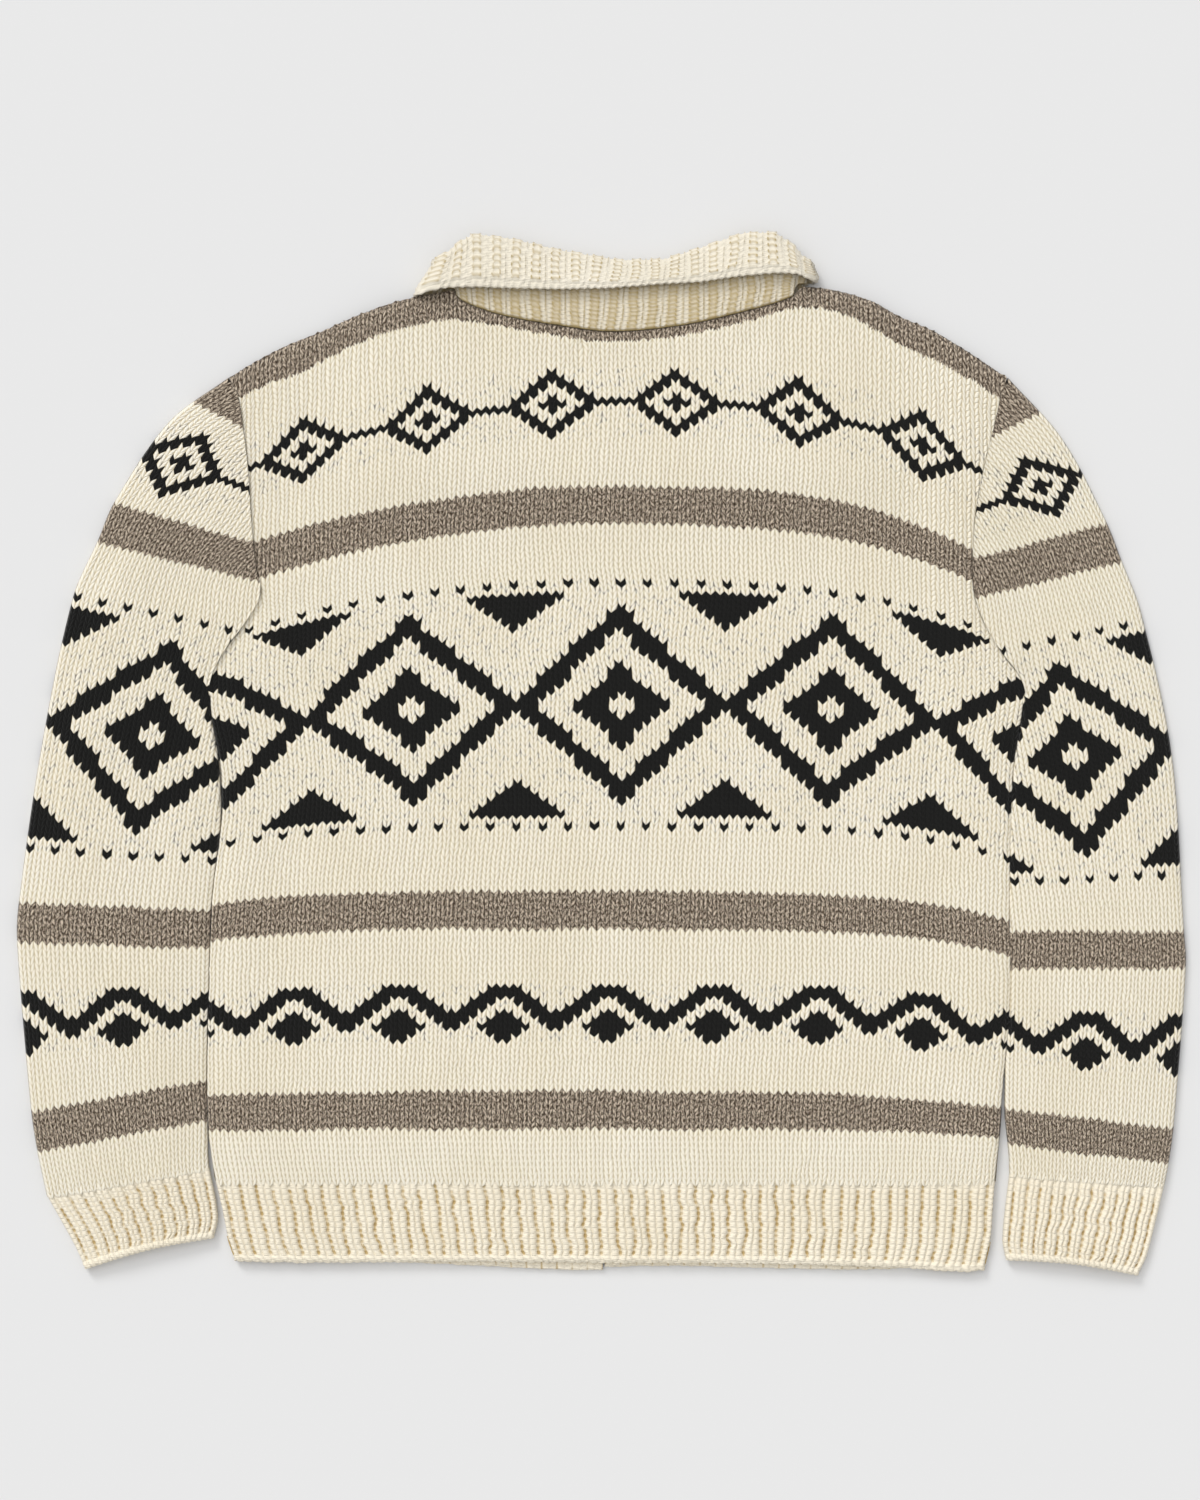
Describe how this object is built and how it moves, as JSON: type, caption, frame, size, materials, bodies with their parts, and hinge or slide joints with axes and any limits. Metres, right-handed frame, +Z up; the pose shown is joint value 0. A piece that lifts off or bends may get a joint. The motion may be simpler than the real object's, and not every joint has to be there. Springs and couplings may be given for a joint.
{
  "type": "knitted cardigan",
  "caption": "Chunky hand-knitted wool cardigan laid flat, back up, with a folded ribbed collar, ribbed hem and cuffs, plain stripes and rows of geometric motifs.",
  "frame": {"origin": "on the ground, under the middle of the garment's outline", "axes": "+X from the wearer's left sleeve to the right one, +Y from the hem to the collar, +Z up from the ground"},
  "size_m": [0.8604, 0.7634, 0.016],
  "materials": {
    "knit": "bulky stockinette wool, matt, with plain stripes and motifs knitted in",
    "rib": "bulky ribbed wool, matt"
  },
  "bodies": {
    "root": {"back": "knit", "front_left": "knit", "front_right": "knit", "sleeve_left": "knit", "sleeve_right": "knit", "hem_back": "rib", "hem_front_left": "rib", "hem_front_right": "rib", "cuff_left": "rib", "cuff_right": "rib", "collar": "rib"}
  },
  "joints": []
}
